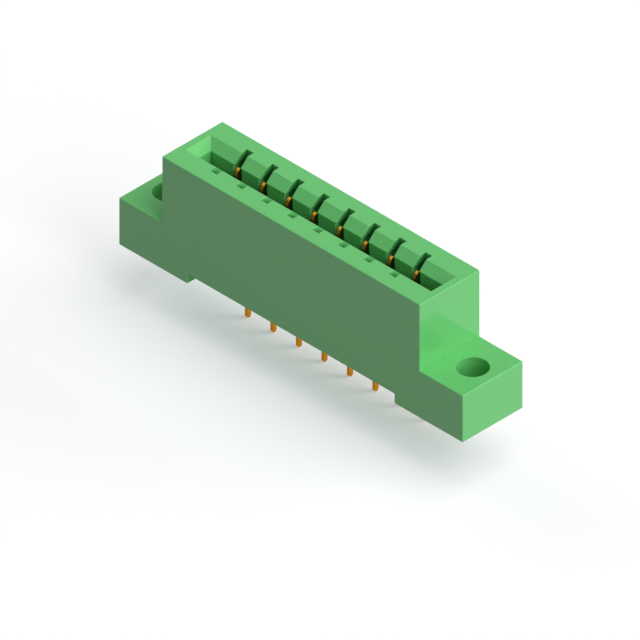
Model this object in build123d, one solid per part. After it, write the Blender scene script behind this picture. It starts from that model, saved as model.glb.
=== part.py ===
from build123d import *
import os

# Card edge connector, soldered and screwed to a board. Its housing has two rows of chambers,
# and contacts in one row. Millimetres, +Z up. The origin is on the seating plane, midway
# between the two mounting holes. X runs along the card, and the contacts are on the +Y side.

# Contact positions
positions = 8
pitch = 3.96
row_offset = 2.54

# Outside of the housing
body_depth = 9.36
body_top = 15.18
standoff = 1.27
ear_top = 6.27
block_past_last = 6.12
ear_past_last = 12.81
foot_length = 10.6
foot_root_radius = 0.15
edge_radius = 0.08

# Mounting holes
hole_past_last = 9.71
hole_diameter = 3.8

# Card slot and the 45 degree lead-in round its mouth
slot_width = 1.78
slot_past_last = 4.12
slot_depth = 8.5
lead_in = 1.07

# Contact chambers in both walls of the slot, with a notch through the roof of each one
chamber_width = 1.3
chamber_floor = 5.0
roof_lip = 0.12
notch_width = 1.06
fit_clearance = 0.03

# Contacts, blanked from strip and pushed down edge-on into a cavity below each chamber
strip_thickness = 0.41
tail_depth = 0.64
tail_below_seat = 6.95
shank_depth = 1.5
shank_bottom = 2.0
shank_taper = 0.4
barb_count = 2
barb_pitch = 0.9
barb_height = 0.5
barb_reach = 0.12
shoulder_height = 0.6
shoulder_reach = 0.35
beam_root_depth = 0.9
nose_depth = 2.4
nose_offset = 0.62
nose_radius = 0.24
tip_depth = 1.38
tip_offset = 1.14
tip_radius = 0.2

# Worked out from the sizes above
last_x = (positions - 1) * pitch / 2
contact_xs = [i * pitch - last_x for i in range(positions)]
block_half = last_x + block_past_last
ear_half = last_x + ear_past_last
foot_inner = ear_half - foot_length
hole_x = last_x + hole_past_last
slot_half = last_x + slot_past_last
slot_floor = body_top - slot_depth
slot_face = slot_width / 2
roof = body_top - lead_in - roof_lip
contact_back = row_offset + tail_depth / 2
chamber_back = contact_back + fit_clearance
shank_front = contact_back - shank_depth
cavity_front = shank_front - barb_reach

# Cutters reach this far past the faces that they open
overrun = 1.0

# Edges and corners are told apart by their positions within this
position_limit = 1e-6


def at_corner(face, x, z):
    """The corner of a front view at (x, z) and its mirror image at (-x, z)."""
    return [
        v for v in face.vertices()
        if abs(abs(v.X) - x) < position_limit and abs(v.Y - z) < position_limit
    ]


def body_profile():
    """Front view of the housing: the block, an ear at each end and a foot under each ear."""
    foot_root = (foot_inner, standoff)
    outer_corners = [(foot_inner, 0), (ear_half, 0), (ear_half, ear_top)]
    ear_root = (block_half, ear_top)
    block_corner = (block_half, body_top)
    right_side = [foot_root, *outer_corners, ear_root, block_corner]
    left_side = [(-x, z) for x, z in reversed(right_side)]
    face = make_face(Polyline(right_side + left_side, close=True))
    face = fillet(at_corner(face, *foot_root), foot_root_radius)
    for x, z in [*outer_corners, block_corner]:
        face = fillet(at_corner(face, x, z), edge_radius)
    return face


def body():
    """Solid block with its ears and feet, and its outer edges slightly rounded."""
    solid = extrude(Plane.XZ * body_profile(), amount=body_depth / 2, both=True)
    outlines = [
        e for e in solid.edges() if abs(abs(e.center().Y) - body_depth / 2) < position_limit
    ]
    return fillet(outlines, edge_radius)


def slotted_body():
    """The body with its card slot, closed at both ends, and the lead-in round its mouth."""
    slot = Pos(0, 0, slot_floor) * Box(
        2 * slot_half, slot_width, slot_depth, align=(Align.CENTER, Align.CENTER, Align.MIN)
    )
    solid = body() - slot
    top_edges = solid.edges().filter_by_position(Axis.Z, body_top, body_top)
    mouth = [
        e for e in top_edges
        if abs(e.center().X) < slot_half + position_limit
        and abs(e.center().Y) < slot_face + position_limit
    ]
    return chamfer(mouth, lead_in)


def standing_box(width, y_from, y_to, z_from, z_to):
    """A box centred on X = 0, between two places along Y and two heights."""
    middle = ((y_from + y_to) / 2, (z_from + z_to) / 2)
    return Pos(0, *middle) * Box(width, y_to - y_from, z_to - z_from)


def chamber():
    """Room for one contact, the notch in its roof, and the narrow cavity that grips the shank."""
    front = slot_face - fit_clearance
    room = standing_box(chamber_width, front, chamber_back, chamber_floor, roof)
    notch = standing_box(notch_width, front, chamber_back, chamber_floor, body_top + overrun)
    cavity = standing_box(
        strip_thickness + 2 * fit_clearance, cavity_front, chamber_back, -overrun, chamber_floor
    )
    return room + notch + cavity


def housing():
    """The one moulded piece, with a row of chambers in each long wall."""
    bore = Pos(0, 0, ear_top / 2) * Cylinder(hole_diameter / 2, ear_top + overrun)
    cutters = [Pos(-hole_x, 0, 0) * bore, Pos(hole_x, 0, 0) * bore]
    rear_chamber = chamber()
    front_chamber = mirror(rear_chamber, about=Plane.XZ)
    for x in contact_xs:
        cutters.append(Pos(x, 0, 0) * rear_chamber)
        cutters.append(Pos(x, 0, 0) * front_chamber)
    return slotted_body() - cutters


def tapered_bar(start, start_radius, end, end_radius):
    """Flat bar between two round ends of different sizes."""
    ends = (Pos(*start) * Circle(start_radius)).edges() + (Pos(*end) * Circle(end_radius)).edges()
    return make_hull(ends)


def upright(y_from, y_to, z_from, z_to):
    """Rectangle of the contact's side view, between two places along Y and two heights."""
    middle = ((y_from + y_to) / 2, (z_from + z_to) / 2)
    return Pos(*middle) * Rectangle(y_to - y_from, z_to - z_from)


def contact_side_view():
    """The contact seen along the card: tail, barbed shank, shoulder, spring beam and tip."""
    tail_radius = tail_depth / 2
    tail_end = (row_offset, tail_radius - tail_below_seat)
    beam_root = (contact_back - beam_root_depth / 2, chamber_floor + shoulder_height)
    nose = (nose_offset, body_top - nose_depth)
    tip = (tip_offset, body_top - tip_depth - tip_radius)
    view = tapered_bar(tail_end, tail_radius, (row_offset, shank_bottom), tail_radius)
    shank = [
        (contact_back, shank_bottom),
        (contact_back, chamber_floor),
        (shank_front, chamber_floor),
        (shank_front, shank_bottom + shank_taper),
        (shank_front + shank_taper, shank_bottom),
    ]
    view += make_face(Polyline(shank, close=True))
    for i in range(barb_count):
        foot = shank_bottom + shank_taper + i * barb_pitch
        point = (cavity_front, foot + barb_height)
        barb = [(shank_front, foot), point, (shank_front, foot + barb_height)]
        view += make_face(Polyline(barb, close=True))
    view += upright(
        shank_front - shoulder_reach, contact_back, chamber_floor, chamber_floor + shoulder_height
    )
    view += tapered_bar(beam_root, beam_root_depth / 2, nose, nose_radius)
    view += tapered_bar(nose, nose_radius, tip, tip_radius)
    return view


def contact():
    """One contact, as thick as the strip that it is blanked from."""
    return extrude(Plane.YZ * contact_side_view(), amount=strip_thickness / 2, both=True)


os.makedirs("parts", exist_ok=True)
export_step(housing(), "parts/housing.step")
one_contact = contact()
for number, x in enumerate(contact_xs, start=1):
    export_step(Pos(x, 0, 0) * one_contact, f"parts/contact_{number}.step")
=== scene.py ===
"""Finish, contacts and stage for a card edge connector: a green moulding and gold contacts."""

import math

import bmesh
import bpy
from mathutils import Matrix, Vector


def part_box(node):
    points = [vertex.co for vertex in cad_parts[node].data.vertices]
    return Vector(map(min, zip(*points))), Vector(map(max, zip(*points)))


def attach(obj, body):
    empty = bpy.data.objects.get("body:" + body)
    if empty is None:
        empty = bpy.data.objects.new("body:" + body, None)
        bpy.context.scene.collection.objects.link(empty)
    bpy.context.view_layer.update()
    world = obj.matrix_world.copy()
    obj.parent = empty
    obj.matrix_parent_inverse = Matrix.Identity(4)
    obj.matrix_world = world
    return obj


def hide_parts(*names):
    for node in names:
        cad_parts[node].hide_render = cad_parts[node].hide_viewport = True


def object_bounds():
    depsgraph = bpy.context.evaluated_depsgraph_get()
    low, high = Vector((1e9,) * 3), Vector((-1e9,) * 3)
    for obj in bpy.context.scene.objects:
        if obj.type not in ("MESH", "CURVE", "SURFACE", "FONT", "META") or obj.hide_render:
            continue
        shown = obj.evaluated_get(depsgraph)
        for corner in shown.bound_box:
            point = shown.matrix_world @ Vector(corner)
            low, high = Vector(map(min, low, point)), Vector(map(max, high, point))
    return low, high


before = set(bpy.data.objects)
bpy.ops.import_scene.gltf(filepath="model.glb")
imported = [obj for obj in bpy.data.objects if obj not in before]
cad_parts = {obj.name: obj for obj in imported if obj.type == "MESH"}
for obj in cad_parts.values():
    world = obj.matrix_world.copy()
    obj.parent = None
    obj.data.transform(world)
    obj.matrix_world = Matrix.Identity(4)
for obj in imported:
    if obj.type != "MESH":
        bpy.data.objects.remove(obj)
cad_low, cad_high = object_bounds()

bl_info = {
    "name": "Card Edge Connector Finish",
    "version": (1, 0, 0),
    "blender": (4, 5, 0),
    "location": "View3D > Sidebar > Connector",
    "description": "Finishes the moulding, models the plated contacts and sets the stage",
    "category": "Object",
}

HOUSING = "housing"
CONTACTS = sorted(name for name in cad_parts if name.startswith("contact_"))
contact_low, contact_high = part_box(CONTACTS[0])

# Places are told apart within this, and each of two rounds that meet fills this share of its half
NEAR = 0.000001
NEARLY_ALL = 0.999

# Directions that a face is looked for by, and how much of its normal lies along or across them
UP = (0, 0, 1)
FORWARD = (0, -1, 0)
ALONG = 0.9
ACROSS = 0.1

# Without a window the rotate operator turns the other way
BACKGROUND_TURN = -1

# A contact: its barbs, the room at its nose as a share of half the nose's depth, the steps of
# its rounds, and the angles within which faces are joined or shaded as one
BARBS = 2
NOSE_ROOM = 1.04
BEND_STEPS = 8
END_STEPS = 8
COIN_STEPS = 3
FLAT_ANGLE = math.radians(0.5)
SMOOTH_ANGLE = math.radians(40)

# Sockets of the Mix node for its factor, its two colours and the mixed colour
MIX_FACTOR = 0
MIX_FIRST = 6
MIX_SECOND = 7
MIX_RESULT = 2

# The value that noise varies about, and the ranges over which the masks go from 0 to 1
NOISE_MIDDLE = 0.5
BROAD_GRAIN = (0.35, 0.65)
TURNED_AT_EDGE = (0.999, 0.93)
RUBBED_PATCHES = (0.38, 0.62)
# CLOSED_IN is the ambient occlusion range over which the painted shade of recesses comes in
CLOSED_IN = (0.52, 0.36)
STREAKS = (0.35, 0.7)

# Grain: how much coarser its broad part is, and how much of it is added to the fine part
BROAD_COARSER = 7.0
BROAD_SHARE = 0.6

# Rays that the Bevel node and the Ambient Occlusion node of the painted recess shade send out
BEVEL_RAYS = 6
RECESS_SHADE_RAYS = 12

# Moulding: flow streaks, rubbed edges, painted shade in recesses and grain
FLOW_STRETCH = (3.0, 1.0, 1.0)
FLOW_CONTRAST = 1.6
FLOW_SHARE = 0.35
RUBBED_PATCH = 0.0012
RUBBED_SHARE = 0.12
RUBBED_ROUGHNESS = 0.12
RECESS_SHADE_SHARE = 0.9
GRAIN_ROUGHNESS = 0.05
GRAIN_HEIGHT = 0.000004
GRAIN_STRENGTH = 0.35
PLASTIC_IOR = 1.5

# Plating: rolling streaks, duller patches, worn edges, flat sides and the fade from painted shade
# to painted highlight at the tip
STREAK_LENGTH = 60.0
STREAK_ROUGHNESS = 0.1
STREAK_HEIGHT = 0.000003
STREAK_STRENGTH = 0.4
DULL_STRETCH = (1.0, 1.0, 2.0)
DULL_SIZE = 0.0022
DULL_CONTRAST = 2.2
DULL_SHARE = 0.45
WORN_RADIUS = 0.00006
WORN_PATCH = 0.0006
WORN_ROUGHNESS = -0.08
FLAT_SIDE = (0.8, 0.97)
SIDE_SHARE = 0.6
SIDE_ROUGHNESS = 0.12
# Share of the painted highlight mixed into the tip
TIP_HIGHLIGHT_SHARE = 0.8
# Height over which the painted shade of the spring gives way to the painted highlight of the tip
SHADE_TO_HIGHLIGHT_FADE = 0.0001

# The photograph's frame: a true isometric view, with its scale and the point at its middle
ISOMETRIC_DIRECTION = Vector((1, -1, 1)).normalized()
ISOMETRIC_SIDEWAYS = Vector((1, 1, 0)).normalized()
PHOTO_SIDE = 640
PHOTO_PIXELS_PER_METRE = 9108
VIEW_HEIGHT = 0.00082
VIEW_SHIFT = -0.0001
CAMERA_DISTANCE = 0.3
CAMERA_CLIP_START = 0.001
CAMERA_CLIP_END = 10.0

# Each lamp's name and setting, and its azimuth, elevation and spread in degrees
LAMPS = (
    ("lamp_behind", "behind_light", 45, 14, 38),
    ("lamp_right", "right_light", -10, 30, 38),
    ("lamp_high", "high_light", 15, 68, 50),
    ("lamp_left", "left_light", 180, 35, 38),
)
LAMP_DISTANCE = 0.2

# The surroundings are white up to the horizon, and have the overhead tone from this height up
HORIZON = 0.0
OVERHEAD = 0.7


class MouldingSettings(bpy.types.PropertyGroup):
    """Colours, grain and rubbed edges of the moulded housing."""

    colour: bpy.props.FloatVectorProperty(
        name="Colour", description="Colour of the plastic",
        subtype="COLOR", size=3, min=0, max=1, default=(0.13, 0.535, 0.155),
    )
    flow_colour: bpy.props.FloatVectorProperty(
        name="Flow colour", description="Colour of the faint streaks where the melt flowed",
        subtype="COLOR", size=3, min=0, max=1, default=(0.115, 0.5, 0.138),
    )
    rubbed_colour: bpy.props.FloatVectorProperty(
        name="Rubbed colour", description="Colour of the plastic along rubbed edges",
        subtype="COLOR", size=3, min=0, max=1, default=(0.22, 0.62, 0.26),
    )
    flow_size: bpy.props.FloatProperty(
        name="Flow size", description="Length of the faint streaks",
        subtype="DISTANCE", unit="LENGTH", default=0.009, min=0.0005,
    )
    grain_size: bpy.props.FloatProperty(
        name="Grain size", description="Size of the fine grain left by the mould",
        subtype="DISTANCE", unit="LENGTH", default=0.00018, min=0.00001,
    )
    edge_radius: bpy.props.FloatProperty(
        name="Edge radius", description="How far from an edge it is rubbed",
        subtype="DISTANCE", unit="LENGTH", default=0.00018, min=0.00001,
    )
    corner_radius: bpy.props.FloatProperty(
        name="Corner radius", description="Radius that light shows along the moulded corners",
        subtype="DISTANCE", unit="LENGTH", default=0.0001, min=0,
    )
    # Painted shade: the dark green mixed into the colour deep in holes and chambers, where shade
    # falls
    recess_shade_colour: bpy.props.FloatVectorProperty(
        name="Recess colour", description="Colour of the plastic deep in holes and chambers",
        subtype="COLOR", size=3, min=0, max=1, default=(0.012, 0.13, 0.03),
    )
    # How far the painted recess shade looks for surrounding walls
    recess_shade_reach: bpy.props.FloatProperty(
        name="Recess reach", description="Width of the gaps that count as deep recesses",
        subtype="DISTANCE", unit="LENGTH", default=0.002, min=0.0001,
    )
    roughness: bpy.props.FloatProperty(
        name="Roughness", description="Mean roughness of the moulded surface",
        subtype="FACTOR", default=0.12, min=0, max=1,
    )


class ContactSettings(bpy.types.PropertyGroup):
    """Sizes, colours and streaks of the plated contacts."""

    tail_depth: bpy.props.FloatProperty(
        name="Tail depth", description="Depth of the solder tail, across the rows",
        subtype="DISTANCE", unit="LENGTH", default=0.00064, min=0.0001,
    )
    shank_depth: bpy.props.FloatProperty(
        name="Shank depth", description="Depth of the part that the housing grips",
        subtype="DISTANCE", unit="LENGTH", default=0.0015, min=0.0002,
    )
    shank_bottom: bpy.props.FloatProperty(
        name="Shank bottom", description="Height of the shank's lower end over the board",
        subtype="DISTANCE", unit="LENGTH", default=0.002, min=0,
    )
    shank_taper: bpy.props.FloatProperty(
        name="Shank taper", description="Cut corner that leads the shank into the housing",
        subtype="DISTANCE", unit="LENGTH", default=0.0004, min=0,
    )
    barb_pitch: bpy.props.FloatProperty(
        name="Barb pitch", description="Distance from one barb to the next",
        subtype="DISTANCE", unit="LENGTH", default=0.0009, min=0.0001,
    )
    barb_height: bpy.props.FloatProperty(
        name="Barb height", description="Height of each barb",
        subtype="DISTANCE", unit="LENGTH", default=0.0005, min=0.0001,
    )
    barb_reach: bpy.props.FloatProperty(
        name="Barb reach", description="How far each barb stands out of the shank",
        subtype="DISTANCE", unit="LENGTH", default=0.00012, min=0.00001,
    )
    shoulder_bottom: bpy.props.FloatProperty(
        name="Shoulder bottom", description="Height of the chamber floor that the shoulder is on",
        subtype="DISTANCE", unit="LENGTH", default=0.005, min=0.001,
    )
    shoulder_height: bpy.props.FloatProperty(
        name="Shoulder height", description="Height of the shoulder",
        subtype="DISTANCE", unit="LENGTH", default=0.0006, min=0.0001,
    )
    shoulder_reach: bpy.props.FloatProperty(
        name="Shoulder reach", description="How far the shoulder stands out of the shank",
        subtype="DISTANCE", unit="LENGTH", default=0.00035, min=0.00001,
    )
    beam_root_depth: bpy.props.FloatProperty(
        name="Beam root depth", description="Depth of the spring beam where it leaves the shoulder",
        subtype="DISTANCE", unit="LENGTH", default=0.0009, min=0.0001,
    )
    nose_depth: bpy.props.FloatProperty(
        name="Nose depth", description="Depth of the beam at the nose that touches the card",
        subtype="DISTANCE", unit="LENGTH", default=0.00047, min=0.0001,
    )
    nose_below_tip: bpy.props.FloatProperty(
        name="Nose below tip", description="Height from the nose up to the end of the tip",
        subtype="DISTANCE", unit="LENGTH", default=0.00102, min=0.0002,
    )
    tip_depth: bpy.props.FloatProperty(
        name="Tip depth", description="Depth of the rounded tip",
        subtype="DISTANCE", unit="LENGTH", default=0.0004, min=0.0001,
    )
    tip_setback: bpy.props.FloatProperty(
        name="Tip setback", description="How far the middle of the tip is behind the nose's front",
        subtype="DISTANCE", unit="LENGTH", default=0.00076, min=0,
    )
    coined_radius: bpy.props.FloatProperty(
        name="Coined radius", description="Radius along the edges of the blanked strip",
        subtype="DISTANCE", unit="LENGTH", default=0.00005, min=0.000005,
    )
    plating_colour: bpy.props.FloatVectorProperty(
        name="Plating colour", description="Colour of the gold plating",
        subtype="COLOR", size=3, min=0, max=1, default=(0.72, 0.27, 0.004),
    )
    tarnish_colour: bpy.props.FloatVectorProperty(
        name="Tarnish colour", description="Colour of the duller patches of the plating",
        subtype="COLOR", size=3, min=0, max=1, default=(0.5, 0.18, 0.004),
    )
    side_colour: bpy.props.FloatVectorProperty(
        name="Side colour", description="Colour of the strip's flat sides",
        subtype="COLOR", size=3, min=0, max=1, default=(0.62, 0.24, 0.008),
    )
    # Painted highlight: the bright colour given to the lit top of the tip
    tip_highlight_colour: bpy.props.FloatVectorProperty(
        name="Tip colour", description="Colour of the thick plating of the tip",
        subtype="COLOR", size=3, min=0, max=1, default=(1.0, 0.45, 0.03),
    )
    # Painted shade: the dark colour given to the shank and spring, which lie in the shade of the
    # housing
    spring_shade_colour: bpy.props.FloatVectorProperty(
        name="Thin plating colour", description="Colour of the spring, where the plating is thin",
        subtype="COLOR", size=3, min=0, max=1, default=(0.24, 0.13, 0.012),
    )
    # Height of the tip that gets the painted highlight
    highlighted_tip: bpy.props.FloatProperty(
        name="Plated tip", description="Height of the tip that has the full plating",
        subtype="DISTANCE", unit="LENGTH", default=0.0002, min=0,
    )
    streak_width: bpy.props.FloatProperty(
        name="Streak width", description="Width of the rolling streaks along the strip",
        subtype="DISTANCE", unit="LENGTH", default=0.00004, min=0.000005,
    )
    roughness: bpy.props.FloatProperty(
        name="Roughness", description="Mean roughness of the plating",
        subtype="FACTOR", default=0.3, min=0, max=1,
    )


class StageSettings(bpy.types.PropertyGroup):
    """Floor, lamps and background."""

    background_colour: bpy.props.FloatVectorProperty(
        name="Background colour", description="Colour of the surroundings",
        subtype="COLOR", size=3, min=0, max=1, default=(1.0, 1.0, 1.0),
    )
    floor_colour: bpy.props.FloatVectorProperty(
        name="Floor colour", description="Colour that the lamps bring out on the floor",
        subtype="COLOR", size=3, min=0, max=1, default=(0.68, 0.64, 0.64),
    )
    floor_shadow: bpy.props.FloatVectorProperty(
        name="Floor shadow", description="Colour of the floor where no lamp reaches it",
        subtype="COLOR", size=3, min=0, max=1, default=(0.335, 0.38, 0.38),
    )
    floor_bounce: bpy.props.FloatVectorProperty(
        name="Floor bounce", description="Colour of the floor that lights the object from below",
        subtype="COLOR", size=3, min=0, max=1, default=(0.3, 0.3, 0.3),
    )
    floor_side: bpy.props.FloatProperty(
        name="Floor side", description="Side of the square floor",
        subtype="DISTANCE", unit="LENGTH", default=3.0, min=0.1,
    )
    floor_gap: bpy.props.FloatProperty(
        name="Floor gap", description="Space between the solder tails and the floor",
        subtype="DISTANCE", unit="LENGTH", default=0.00005, min=0,
    )
    surroundings: bpy.props.FloatProperty(
        name="Surroundings", description="Plain light from all round",
        default=0.1, min=0,
    )
    overhead_tone: bpy.props.FloatProperty(
        name="Overhead tone", description="Brightness that glossy surfaces mirror from above",
        subtype="FACTOR", default=0.5, min=0, max=1,
    )
    behind_light: bpy.props.FloatProperty(
        name="Behind light", description="Strength of the low soft lamp behind the right end",
        default=1.6, min=0,
    )
    right_light: bpy.props.FloatProperty(
        name="Right light", description="Strength of the soft lamp beyond the right end",
        default=1.2, min=0,
    )
    high_light: bpy.props.FloatProperty(
        name="High light", description="Strength of the high soft lamp",
        default=1.65, min=0,
    )
    left_light: bpy.props.FloatProperty(
        name="Left light", description="Strength of the soft lamp beyond the left end",
        default=0.5, min=0,
    )


def feed(tree, value, socket):
    """Links an output socket to an input socket, or sets the input to a number or a colour."""
    if isinstance(value, bpy.types.NodeSocket):
        tree.links.new(value, socket)
    elif socket.type == "RGBA":
        socket.default_value = (*value, 1.0)
    else:
        socket.default_value = value


def add_node(tree, kind, inputs, **traits):
    """A node with its own traits, and what feeds each input, by the input's name or number."""
    node = tree.nodes.new(kind)
    for name, value in traits.items():
        setattr(node, name, value)
    for key, value in inputs.items():
        feed(tree, value, node.inputs[key])
    return node


def add_math(tree, operation, *values, clamp=False):
    """A Math node; each value is a number or an output socket. Returns its result."""
    node = add_node(
        tree, "ShaderNodeMath", dict(enumerate(values)), operation=operation, use_clamp=clamp,
    )
    return node.outputs["Value"]


def add_noise(tree, place, scale, detail, roughness, distortion=0.0):
    """A noise pattern at a place. Returns its value."""
    node = add_node(tree, "ShaderNodeTexNoise", {
        "Vector": place, "Scale": scale,
        "Detail": detail, "Roughness": roughness, "Distortion": distortion,
    })
    return node.outputs["Fac"]


def add_range(tree, value, low, high, to_low=0.0, to_high=1.0, smooth=True):
    """Maps a value from one range to another and clamps it. Returns the result."""
    node = add_node(tree, "ShaderNodeMapRange", {
        "Value": value, "From Min": low, "From Max": high, "To Min": to_low, "To Max": to_high,
    }, interpolation_type="SMOOTHSTEP" if smooth else "LINEAR")
    return node.outputs["Result"]


def add_stretch(tree, place, stretch):
    """A place divided by how much a pattern is stretched along X, Y and Z."""
    node = add_node(tree, "ShaderNodeVectorMath", {0: place, 1: stretch}, operation="DIVIDE")
    return node.outputs["Vector"]


def add_rounding(tree, radius):
    """The surface's normal, turned near its edges as if they had the radius."""
    node = add_node(tree, "ShaderNodeBevel", {"Radius": radius}, samples=BEVEL_RAYS)
    return node.outputs["Normal"]


def add_mix(tree, factor, first, second):
    """Mixes two colours, each a setting or a socket. Returns the mixed colour."""
    node = add_node(
        tree, "ShaderNodeMix", {MIX_FACTOR: factor, MIX_FIRST: first, MIX_SECOND: second},
        data_type="RGBA",
    )
    return node.outputs[MIX_RESULT]


def add_tint(tree, colour, tint, mask, share):
    """Mixes this share of a tint into a colour where the mask is 1. Returns the new colour."""
    return add_mix(tree, add_math(tree, "MULTIPLY", mask, share), colour, tint)


def new_group(name, inputs, outputs):
    """A shader node group with its inputs (name, kind, default) and its outputs (name, kind)."""
    tree = bpy.data.node_groups.new(name, "ShaderNodeTree")
    for socket_name, kind, default in inputs:
        socket = tree.interface.new_socket(name=socket_name, in_out="INPUT", socket_type=kind)
        if default is not None:
            socket.default_value = default
    for socket_name, kind in outputs:
        tree.interface.new_socket(name=socket_name, in_out="OUTPUT", socket_type=kind)
    start = tree.nodes.new("NodeGroupInput")
    end = tree.nodes.new("NodeGroupOutput")
    return tree, start, end


def add_group(tree, name, **values):
    """Places a node group, built at its first use. Returns its outputs.

    Each value is a number, a tuple or a socket, under the input's name in lower case.
    """
    if name not in bpy.data.node_groups:
        GROUPS[name](name)
    inputs = {key.replace("_", " ").title(): value for key, value in values.items()}
    node = add_node(tree, "ShaderNodeGroup", inputs, node_tree=bpy.data.node_groups[name])
    return node.outputs


def mottle_group(name):
    """Slow change of tone over a surface, stretched along one direction."""
    tree, start, end = new_group(
        name,
        [
            ("Place", "NodeSocketVector", None),
            ("Stretch", "NodeSocketVector", (1.0, 1.0, 1.0)),
            ("Size", "NodeSocketFloat", 0.005),
            ("Contrast", "NodeSocketFloat", 1.0),
        ],
        [("Mask", "NodeSocketFloat")],
    )
    stretched = add_stretch(tree, start.outputs["Place"], start.outputs["Stretch"])
    scale = add_math(tree, "DIVIDE", 1.0, start.outputs["Size"])
    broad = add_noise(tree, stretched, scale, detail=3.0, roughness=0.55, distortion=0.4)
    centred = add_math(tree, "SUBTRACT", broad, NOISE_MIDDLE)
    raised = add_math(tree, "MULTIPLY", centred, start.outputs["Contrast"])
    mask = add_math(tree, "ADD", raised, NOISE_MIDDLE, clamp=True)
    feed(tree, mask, end.inputs["Mask"])


def grain_group(name):
    """Fine grain: a height for the bump and a mask for the roughness."""
    tree, start, end = new_group(
        name,
        [("Place", "NodeSocketVector", None), ("Size", "NodeSocketFloat", 0.0002)],
        [("Height", "NodeSocketFloat"), ("Mask", "NodeSocketFloat")],
    )
    place = start.outputs["Place"]
    scale = add_math(tree, "DIVIDE", 1.0, start.outputs["Size"])
    fine = add_noise(tree, place, scale, detail=2.0, roughness=0.6)
    broad_scale = add_math(tree, "DIVIDE", scale, BROAD_COARSER)
    broad = add_noise(tree, place, broad_scale, detail=2.0, roughness=0.5)
    height = add_math(tree, "MULTIPLY_ADD", broad, BROAD_SHARE, fine)
    feed(tree, height, end.inputs["Height"])
    feed(tree, add_range(tree, broad, *BROAD_GRAIN), end.inputs["Mask"])


def edge_group(name):
    """Where handling has rubbed an edge: the surface turns within the radius, in patches."""
    tree, start, end = new_group(
        name,
        [
            ("Place", "NodeSocketVector", None),
            ("Radius", "NodeSocketFloat", 0.0002),
            ("Patch Size", "NodeSocketFloat", 0.001),
        ],
        [("Mask", "NodeSocketFloat")],
    )
    rounded = add_rounding(tree, start.outputs["Radius"])
    surface = tree.nodes.new("ShaderNodeNewGeometry")
    turned = add_node(
        tree, "ShaderNodeVectorMath", {0: rounded, 1: surface.outputs["True Normal"]},
        operation="DOT_PRODUCT",
    )
    near_edge = add_range(tree, turned.outputs["Value"], *TURNED_AT_EDGE)
    scale = add_math(tree, "DIVIDE", 1.0, start.outputs["Patch Size"])
    patches = add_noise(tree, start.outputs["Place"], scale, detail=3.0, roughness=0.6)
    broken = add_range(tree, patches, *RUBBED_PATCHES)
    mask = add_math(tree, "MULTIPLY", near_edge, broken, clamp=True)
    feed(tree, mask, end.inputs["Mask"])


def recess_shade_group(name):
    """Painted shade in deep recesses: a mask that is 1 where ambient occlusion finds the surface
    closed in.
    """
    tree, start, end = new_group(
        name, [("Reach", "NodeSocketFloat", 0.002)], [("Mask", "NodeSocketFloat")],
    )
    openness = add_node(
        tree, "ShaderNodeAmbientOcclusion", {"Distance": start.outputs["Reach"]},
        samples=RECESS_SHADE_RAYS, only_local=True,
    )
    mask = add_range(tree, openness.outputs["AO"], *CLOSED_IN)
    feed(tree, mask, end.inputs["Mask"])


def streak_group(name):
    """Fine parallel streaks along Z, as rolling and a sliding card leave them."""
    tree, start, end = new_group(
        name,
        [
            ("Place", "NodeSocketVector", None),
            ("Width", "NodeSocketFloat", 0.00005),
            ("Length", "NodeSocketFloat", 40.0),
        ],
        [("Height", "NodeSocketFloat"), ("Mask", "NodeSocketFloat")],
    )
    stretch = add_node(
        tree, "ShaderNodeCombineXYZ", {"X": 1.0, "Y": 1.0, "Z": start.outputs["Length"]},
    )
    stretched = add_stretch(tree, start.outputs["Place"], stretch.outputs["Vector"])
    scale = add_math(tree, "DIVIDE", 1.0, start.outputs["Width"])
    streaks = add_noise(tree, stretched, scale, detail=2.0, roughness=0.6)
    feed(tree, streaks, end.inputs["Height"])
    feed(tree, add_range(tree, streaks, *STREAKS), end.inputs["Mask"])


GROUPS = {
    "surface_mottle": mottle_group,
    "fine_grain": grain_group,
    "edge_wear": edge_group,
    "deep_recess": recess_shade_group,
    "fine_streaks": streak_group,
}


def new_material(name):
    """A material with a Principled BSDF, and Object coordinates to place its patterns."""
    material = bpy.data.materials.new(name)
    material.use_nodes = True
    tree = material.node_tree
    shader = tree.nodes["Principled BSDF"]
    place = tree.nodes.new("ShaderNodeTexCoord").outputs["Object"]
    return material, tree, shader, place


def moulding_material(settings):
    """Glossy moulded plastic: flow streaks, mould grain, rubbed edges and painted shade in deep
    recesses.
    """
    material, tree, shader, place = new_material("moulded_green_plastic")
    flow = add_group(
        tree, "surface_mottle", place=place, stretch=FLOW_STRETCH, size=settings.flow_size,
        contrast=FLOW_CONTRAST,
    )["Mask"]
    grain = add_group(tree, "fine_grain", place=place, size=settings.grain_size)
    rubbed = add_group(
        tree, "edge_wear", place=place, radius=settings.edge_radius, patch_size=RUBBED_PATCH,
    )["Mask"]
    recess_shade = add_group(tree, "deep_recess", reach=settings.recess_shade_reach)["Mask"]
    colour = add_tint(tree, settings.colour, settings.flow_colour, flow, FLOW_SHARE)
    colour = add_tint(tree, colour, settings.rubbed_colour, rubbed, RUBBED_SHARE)
    # Painted shade: darkens the colour where the surface is closed in
    colour = add_tint(tree, colour, settings.recess_shade_colour, recess_shade, RECESS_SHADE_SHARE)
    feed(tree, colour, shader.inputs["Base Color"])
    roughness = add_math(
        tree, "MULTIPLY_ADD", grain["Mask"], GRAIN_ROUGHNESS, settings.roughness,
    )
    roughness = add_math(tree, "MULTIPLY_ADD", rubbed, RUBBED_ROUGHNESS, roughness)
    feed(tree, roughness, shader.inputs["Roughness"])
    shader.inputs["IOR"].default_value = PLASTIC_IOR
    bump = add_node(tree, "ShaderNodeBump", {
        "Height": grain["Height"], "Distance": GRAIN_HEIGHT, "Strength": GRAIN_STRENGTH,
        "Normal": add_rounding(tree, settings.corner_radius),
    })
    feed(tree, bump.outputs["Normal"], shader.inputs["Normal"])
    return material


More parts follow.
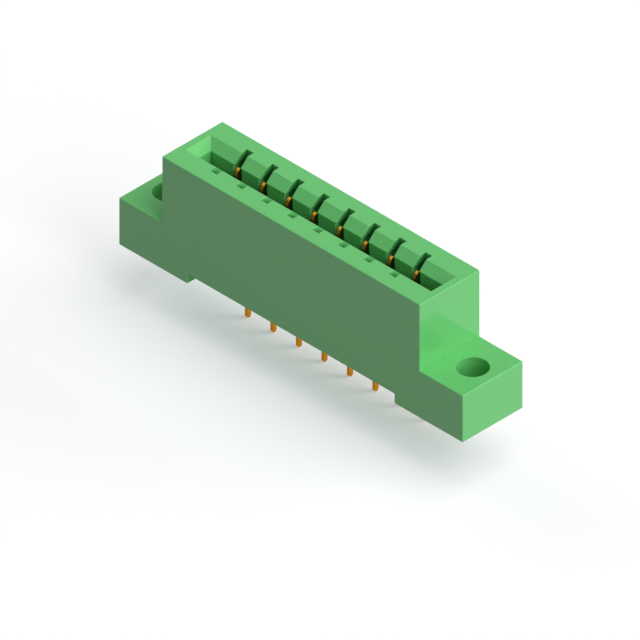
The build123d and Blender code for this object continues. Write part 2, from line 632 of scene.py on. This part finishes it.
def contact_material(settings):
    """Gold plated strip: rolling streaks, duller patches and sides, painted shade on the spring and
    a painted highlight on the tip.
    """
    material, tree, shader, place = new_material("gold_plated_strip")
    streaks = add_group(
        tree, "fine_streaks", place=place, width=settings.streak_width, length=STREAK_LENGTH,
    )
    dull = add_group(
        tree, "surface_mottle", place=place, stretch=DULL_STRETCH, size=DULL_SIZE,
        contrast=DULL_CONTRAST,
    )["Mask"]
    worn = add_group(
        tree, "edge_wear", place=place, radius=WORN_RADIUS, patch_size=WORN_PATCH,
    )["Mask"]
    surface = tree.nodes.new("ShaderNodeNewGeometry")
    facing = add_node(tree, "ShaderNodeSeparateXYZ", {"Vector": surface.outputs["True Normal"]})
    side = add_range(tree, add_math(tree, "ABSOLUTE", facing.outputs["X"]), *FLAT_SIDE)
    height = add_node(tree, "ShaderNodeSeparateXYZ", {"Vector": place}).outputs["Z"]
    # The painted highlight covers the top of the tip, and the painted shade covers the shank and
    # spring below it
    highlight_start = contact_high.z - settings.highlighted_tip
    shade_end = highlight_start - SHADE_TO_HIGHLIGHT_FADE
    past_tail = add_range(tree, height, settings.shank_bottom, settings.shoulder_bottom)
    below_tip = add_range(tree, height, highlight_start, shade_end)
    spring = add_math(tree, "MULTIPLY", past_tail, below_tip)
    tip = add_range(tree, height, shade_end, highlight_start, smooth=False)
    colour = add_tint(tree, settings.plating_colour, settings.tarnish_colour, dull, DULL_SHARE)
    colour = add_tint(tree, colour, settings.side_colour, side, SIDE_SHARE)
    # Painted highlight: brightens the top of the tip
    colour = add_tint(tree, colour, settings.tip_highlight_colour, tip, TIP_HIGHLIGHT_SHARE)
    # Painted shade: the dark spring colour over the shank and spring below the tip
    colour = add_mix(tree, spring, colour, settings.spring_shade_colour)
    feed(tree, colour, shader.inputs["Base Color"])
    shader.inputs["Metallic"].default_value = 1.0
    roughness = add_math(
        tree, "MULTIPLY_ADD", streaks["Mask"], STREAK_ROUGHNESS, settings.roughness,
    )
    roughness = add_math(tree, "MULTIPLY_ADD", side, SIDE_ROUGHNESS, roughness)
    roughness = add_math(tree, "MULTIPLY_ADD", worn, WORN_ROUGHNESS, roughness)
    feed(tree, roughness, shader.inputs["Roughness"])
    bump = add_node(tree, "ShaderNodeBump", {
        "Height": streaks["Height"], "Distance": STREAK_HEIGHT, "Strength": STREAK_STRENGTH,
    })
    feed(tree, bump.outputs["Normal"], shader.inputs["Normal"])
    return material


def give_material(node, material):
    """Puts a material in every slot of a CAD node's object."""
    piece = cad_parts[node]
    if not piece.material_slots:
        piece.data.materials.append(material)
    for place in piece.material_slots:
        place.material = material


def add_light_path(tree):
    """A Light Path node, and whether its ray is seen: straight, in a mirror or through glass."""
    path = tree.nodes.new("ShaderNodeLightPath").outputs
    seen = add_math(tree, "MAXIMUM", path["Is Camera Ray"], path["Is Glossy Ray"])
    return path, add_math(tree, "MAXIMUM", seen, path["Is Transmission Ray"])


def floor_material(settings):
    """Plain pale floor that the camera sees as white and that keeps the object's shadow."""
    material = bpy.data.materials.new("stage_floor")
    material.use_nodes = True
    tree = material.node_tree
    tree.nodes.clear()
    seen = add_light_path(tree)[1]
    bounce = add_node(tree, "ShaderNodeBsdfDiffuse", {"Color": settings.floor_bounce})
    pale = add_node(tree, "ShaderNodeBsdfDiffuse", {"Color": settings.floor_colour})
    glow = add_node(tree, "ShaderNodeEmission", {"Color": settings.floor_shadow})
    white = add_node(
        tree, "ShaderNodeAddShader", {0: pale.outputs["BSDF"], 1: glow.outputs["Emission"]},
    )
    choice = add_node(tree, "ShaderNodeMixShader", {
        0: seen, 1: bounce.outputs["BSDF"], 2: white.outputs["Shader"],
    })
    add_node(tree, "ShaderNodeOutputMaterial", {"Surface": choice.outputs["Shader"]})
    return material


def stage_world(settings):
    """White surroundings for the camera and for reflections, and plain light for the rest."""
    world = bpy.data.worlds.new("stage_surroundings")
    world.use_nodes = True
    tree = world.node_tree
    background = tree.nodes["Background"]
    feed(tree, settings.background_colour, background.inputs["Color"])
    path, seen = add_light_path(tree)
    place = tree.nodes.new("ShaderNodeTexCoord").outputs["Generated"]
    height = add_node(tree, "ShaderNodeSeparateXYZ", {"Vector": place}).outputs["Z"]
    overhead = add_range(
        tree, height, HORIZON, OVERHEAD, to_low=1.0, to_high=settings.overhead_tone,
    )
    reflected = add_math(tree, "SUBTRACT", 1.0, path["Is Camera Ray"])
    tone = add_math(tree, "POWER", overhead, reflected)
    shown = add_math(tree, "MULTIPLY", seen, tone)
    unseen = add_math(tree, "SUBTRACT", 1.0, seen)
    strength = add_math(tree, "MULTIPLY_ADD", unseen, settings.surroundings, shown)
    feed(tree, strength, background.inputs["Strength"])
    bpy.context.scene.world = world


def add_lamp(name, strength, azimuth, elevation, spread):
    """A soft lamp, turned round from +X towards +Y and raised by angles in degrees."""
    turn, rise = math.radians(azimuth), math.radians(elevation)
    direction = Vector((
        math.cos(rise) * math.cos(turn), math.cos(rise) * math.sin(turn), math.sin(rise),
    ))
    bpy.ops.object.light_add(type="SUN", location=direction * LAMP_DISTANCE)
    lamp = bpy.context.object
    lamp.name = name
    lamp.rotation_euler = direction.to_track_quat("Z", "Y").to_euler()
    lamp.data.energy = strength
    lamp.data.angle = math.radians(spread)


def activate(piece):
    """Selects one object alone and makes it the active one."""
    bpy.ops.object.select_all(action="DESELECT")
    piece.select_set(True)
    bpy.context.view_layer.objects.active = piece


def within(place, ranges):
    """Whether a place lies in ranges such as y=(low, high)."""
    return all(
        low - NEAR < getattr(place, axis) < high + NEAR for axis, (low, high) in ranges.items()
    )


def pick(piece, kind, test):
    """Selects, in edit mode, the faces or the edges that the test accepts."""
    bpy.ops.mesh.select_mode(type=kind)
    bpy.ops.mesh.select_all(action="DESELECT")
    mesh = bmesh.from_edit_mesh(piece.data)
    chosen = [item for item in (mesh.faces if kind == "FACE" else mesh.edges) if test(item)]
    if not chosen:
        raise RuntimeError("the contact has nothing to shape at the place asked for")
    for item in chosen:
        item.select_set(True)
    bmesh.update_edit_mesh(piece.data)


def pick_faces(piece, facing, **ranges):
    """Selects the faces that face one way and have their middles in the ranges."""
    pick(piece, "FACE", lambda face: (
        face.normal.dot(Vector(facing)) > ALONG and within(face.calc_center_median(), ranges)
    ))


def runs_along_card(edge):
    """Whether an edge runs along X."""
    first, second = edge.verts
    return (first.co - second.co).yz.length < NEAR


def borders_flat_side(edge):
    """Whether an edge lies between a flat side of the strip and the outline cut from it."""
    turns = [abs(face.normal.x) for face in edge.link_faces]
    return edge.is_manifold and min(turns) < ACROSS and max(turns) > ALONG


def pick_edges(piece, **ranges):
    """Selects the edges along X that lie in the ranges."""
    pick(piece, "EDGE", lambda edge: (
        runs_along_card(edge) and within(edge.verts[0].co, ranges)
    ))


def clean(flat_angle=None):
    """Merges doubled points, turns faces outwards and, if asked, joins faces that are flat."""
    bpy.ops.mesh.select_all(action="SELECT")
    bpy.ops.mesh.remove_doubles(threshold=NEAR)
    bpy.ops.mesh.normals_make_consistent(inside=False)
    if flat_angle is not None:
        bpy.ops.mesh.dissolve_limited(angle_limit=flat_angle)


def push_out(*move):
    """Extrudes the selected faces by a move along X, Y and Z."""
    bpy.ops.mesh.extrude_region_move(TRANSFORM_OT_translate={"value": move})


def draw_out(move, centre, factor):
    """Extrudes the selected faces by a move, and scales them there to draw the bar thinner."""
    push_out(*move)
    bpy.ops.transform.resize(value=(1, factor, factor), center_override=centre)


def shape_shank(piece, settings):
    """Draws the tail's column up, and pushes its front out to the shank, barbs and shoulder."""
    back = contact_high.y
    tail_front = back - settings.tail_depth
    beam_front = back - settings.beam_root_depth
    shank_front = back - settings.shank_depth
    barb_front = shank_front - settings.barb_reach
    bottom = settings.shank_bottom
    shoulder_top = settings.shoulder_bottom + settings.shoulder_height
    barb_foot = bottom + settings.shank_taper
    barbs = []
    for number in range(BARBS):
        foot = barb_foot + number * settings.barb_pitch
        barbs.append((foot, foot + settings.barb_height))
    levels = [bottom, *(level for barb in barbs for level in barb)]
    levels += [settings.shoulder_bottom, shoulder_top]
    for low, high in zip(levels, levels[1:]):
        pick_faces(piece, UP, z=(low, low))
        push_out(0, 0, high - low)
    for start, end in ((tail_front, beam_front), (beam_front, shank_front)):
        pick_faces(piece, FORWARD, y=(start, start), z=(bottom, shoulder_top))
        push_out(0, end - start, 0)
    for foot, top in barbs:
        pick_faces(piece, FORWARD, y=(shank_front, shank_front), z=(foot, top))
        push_out(0, barb_front - shank_front, 0)
        pick_edges(piece, y=(barb_front, barb_front), z=(foot, foot))
        bpy.ops.transform.translate(value=(0, shank_front - barb_front, 0))
    pick_edges(piece, y=(shank_front, shank_front), z=(bottom, bottom))
    bpy.ops.transform.translate(value=(0, settings.shank_taper, 0))
    pick_faces(
        piece, FORWARD, y=(shank_front, shank_front), z=(settings.shoulder_bottom, shoulder_top),
    )
    push_out(0, -settings.shoulder_reach, 0)


def shape_beam(piece, settings):
    """Draws the beam out of the shoulder's top, and bends it back at the nose.

    Returns the middle of its end face and the direction of the tip.
    """
    middle_x = (contact_low.x + contact_high.x) / 2
    half_nose = settings.nose_depth / 2
    half_tip = settings.tip_depth / 2
    beam_front = contact_high.y - settings.beam_root_depth
    shoulder_top = settings.shoulder_bottom + settings.shoulder_height
    root = Vector((middle_x, (beam_front + contact_high.y) / 2, shoulder_top))
    nose = Vector((
        middle_x, contact_low.y + half_nose * NOSE_ROOM, contact_high.z - settings.nose_below_tip,
    ))
    tip = Vector((middle_x, contact_low.y + settings.tip_setback, contact_high.z - half_tip))
    pick_faces(piece, UP, y=(beam_front, contact_high.y), z=(shoulder_top, shoulder_top))
    draw_out(nose - root, nose, settings.nose_depth / settings.beam_root_depth)
    lean = math.atan2(root.y - nose.y, nose.z - root.z)
    bpy.ops.transform.rotate(
        value=BACKGROUND_TURN * lean, orient_axis="X", center_override=nose,
    )
    pivot = nose + Vector((0, math.cos(lean), math.sin(lean))) * half_nose
    to_tip = tip - pivot
    setback = math.atan2(to_tip.y, to_tip.z) + math.asin(half_nose / to_tip.length)
    bpy.ops.mesh.spin(
        steps=BEND_STEPS, angle=lean + setback, center=pivot, axis=(1, 0, 0),
    )
    run = math.sqrt(to_tip.length_squared - half_nose ** 2)
    direction = Vector((0, math.sin(setback), math.cos(setback)))
    end = tip + direction * half_tip
    draw_out(direction * run, tip, settings.tip_depth / settings.nose_depth)
    push_out(*(direction * half_tip))
    return end, direction


def model_contact(settings):
    """Models one contact in the place of the first: a flat bar, drawn out section by section."""
    low, high = contact_low, contact_high
    middle = (low + high) / 2
    column = Vector((high.x - low.x, settings.tail_depth, settings.shank_bottom - low.z))
    bpy.ops.object.select_all(action="DESELECT")
    bpy.ops.mesh.primitive_cube_add(
        size=1, scale=column,
        location=(middle.x, high.y - column.y / 2, low.z + column.z / 2),
    )
    piece = bpy.context.object
    bpy.ops.object.transform_apply(location=True, rotation=True, scale=True)
    bpy.ops.object.mode_set(mode="EDIT")
    shape_shank(piece, settings)
    tip_end, direction = shape_beam(piece, settings)
    clean(flat_angle=FLAT_ANGLE)
    pick(piece, "EDGE", lambda edge: (
        runs_along_card(edge) and abs((edge.verts[0].co - tip_end).dot(direction)) < NEAR
    ))
    bpy.ops.mesh.bevel(offset=settings.tip_depth / 2 * NEARLY_ALL, segments=END_STEPS)
    pick_edges(piece, z=(low.z, low.z))
    bpy.ops.mesh.bevel(offset=settings.tail_depth / 2 * NEARLY_ALL, segments=END_STEPS)
    clean()
    pick(piece, "EDGE", borders_flat_side)
    bpy.ops.mesh.bevel(offset=settings.coined_radius, segments=COIN_STEPS)
    whole = all(edge.is_manifold for edge in bmesh.from_edit_mesh(piece.data).edges)
    bpy.ops.object.mode_set(mode="OBJECT")
    if not whole:
        raise RuntimeError("the contact's surface isn't closed")
    bpy.ops.object.shade_smooth_by_angle(angle=SMOOTH_ANGLE)
    return piece


class CONNECTOR_OT_finish_housing(bpy.types.Operator):
    """Give the housing its moulded plastic finish"""

    bl_idname = "connector.finish_housing"
    bl_label = "Finish housing"

    def execute(self, context):
        give_material(HOUSING, moulding_material(context.scene.connector_moulding))
        return {"FINISHED"}


class CONNECTOR_OT_make_contacts(bpy.types.Operator):
    """Model one gold plated contact, and place a copy of it at every position"""

    bl_idname = "connector.make_contacts"
    bl_label = "Make contacts"

    def execute(self, context):
        settings = context.scene.connector_contacts
        first = model_contact(settings)
        first.data.materials.append(contact_material(settings))
        for name in CONTACTS:
            piece = first
            if name != CONTACTS[0]:
                activate(first)
                bpy.ops.object.duplicate(linked=False)
                piece = context.object
                bpy.ops.transform.translate(value=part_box(name)[0] - contact_low)
                bpy.ops.object.transform_apply(location=True, rotation=True, scale=True)
            piece.name = name.replace("contact", "spring_contact")
            piece.data.name = piece.name
            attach(piece, "root")
            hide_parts(name)
        return {"FINISHED"}


class CONNECTOR_OT_set_stage(bpy.types.Operator):
    """Set the floor, the lamps and the surroundings"""

    bl_idname = "connector.set_stage"
    bl_label = "Set stage"

    def execute(self, context):
        settings = context.scene.connector_stage
        bpy.ops.object.select_all(action="DESELECT")
        height = cad_low.z - settings.floor_gap
        bpy.ops.mesh.primitive_plane_add(size=settings.floor_side, location=(0, 0, height))
        floor = context.object
        floor.name = "stage_floor"
        bpy.ops.object.transform_apply(location=True, rotation=True, scale=True)
        floor.data.materials.append(floor_material(settings))
        stage_world(settings)
        for name, strength, *angles in LAMPS:
            add_lamp(name, getattr(settings, strength), *angles)
        context.scene.view_settings.view_transform = "Standard"
        return {"FINISHED"}


class CONNECTOR_OT_set_camera(bpy.types.Operator):
    """Place the camera of the isometric view"""

    bl_idname = "connector.set_camera"
    bl_label = "Set camera"

    def execute(self, context):
        target = Vector((0, 0, VIEW_HEIGHT)) + ISOMETRIC_SIDEWAYS * VIEW_SHIFT
        bpy.ops.object.camera_add(location=target + ISOMETRIC_DIRECTION * CAMERA_DISTANCE)
        camera = context.object
        camera.name = "isometric_camera"
        camera.rotation_euler = ISOMETRIC_DIRECTION.to_track_quat("Z", "Y").to_euler()
        camera.data.type = "ORTHO"
        camera.data.ortho_scale = PHOTO_SIDE / PHOTO_PIXELS_PER_METRE
        camera.data.clip_start = CAMERA_CLIP_START
        camera.data.clip_end = CAMERA_CLIP_END
        bpy.context.scene.camera = camera
        return {"FINISHED"}


class CONNECTOR_PT_sidebar(bpy.types.Panel):
    """Lists the connector's settings and steps"""

    bl_idname = "CONNECTOR_PT_sidebar"
    bl_label = "Card edge connector"
    bl_space_type = "VIEW_3D"
    bl_region_type = "UI"
    bl_category = "Connector"

    def draw(self, context):
        for group, operators in PANEL_ROWS:
            box = self.layout.box()
            settings = getattr(context.scene, group)
            for name in type(settings).__annotations__:
                box.prop(settings, name)
            for name in operators:
                box.operator(name)


PANEL_ROWS = (
    ("connector_moulding", ("connector.finish_housing",)),
    ("connector_contacts", ("connector.make_contacts",)),
    ("connector_stage", ("connector.set_stage", "connector.set_camera")),
)

SETTINGS = {
    "connector_moulding": MouldingSettings,
    "connector_contacts": ContactSettings,
    "connector_stage": StageSettings,
}

CLASSES = (
    *SETTINGS.values(),
    CONNECTOR_OT_finish_housing,
    CONNECTOR_OT_make_contacts,
    CONNECTOR_OT_set_stage,
    CONNECTOR_OT_set_camera,
    CONNECTOR_PT_sidebar,
)


def register():
    for item in CLASSES:
        bpy.utils.register_class(item)
    for name, group in SETTINGS.items():
        setattr(bpy.types.Scene, name, bpy.props.PointerProperty(type=group))


def unregister():
    for name in SETTINGS:
        delattr(bpy.types.Scene, name)
    for item in reversed(CLASSES):
        bpy.utils.unregister_class(item)


def main():
    """Registers the add-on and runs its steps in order."""
    register()
    bpy.ops.connector.set_camera()
    bpy.ops.connector.finish_housing()
    bpy.ops.connector.make_contacts()
    bpy.ops.connector.set_stage()


if __name__ == "__main__":
    main()
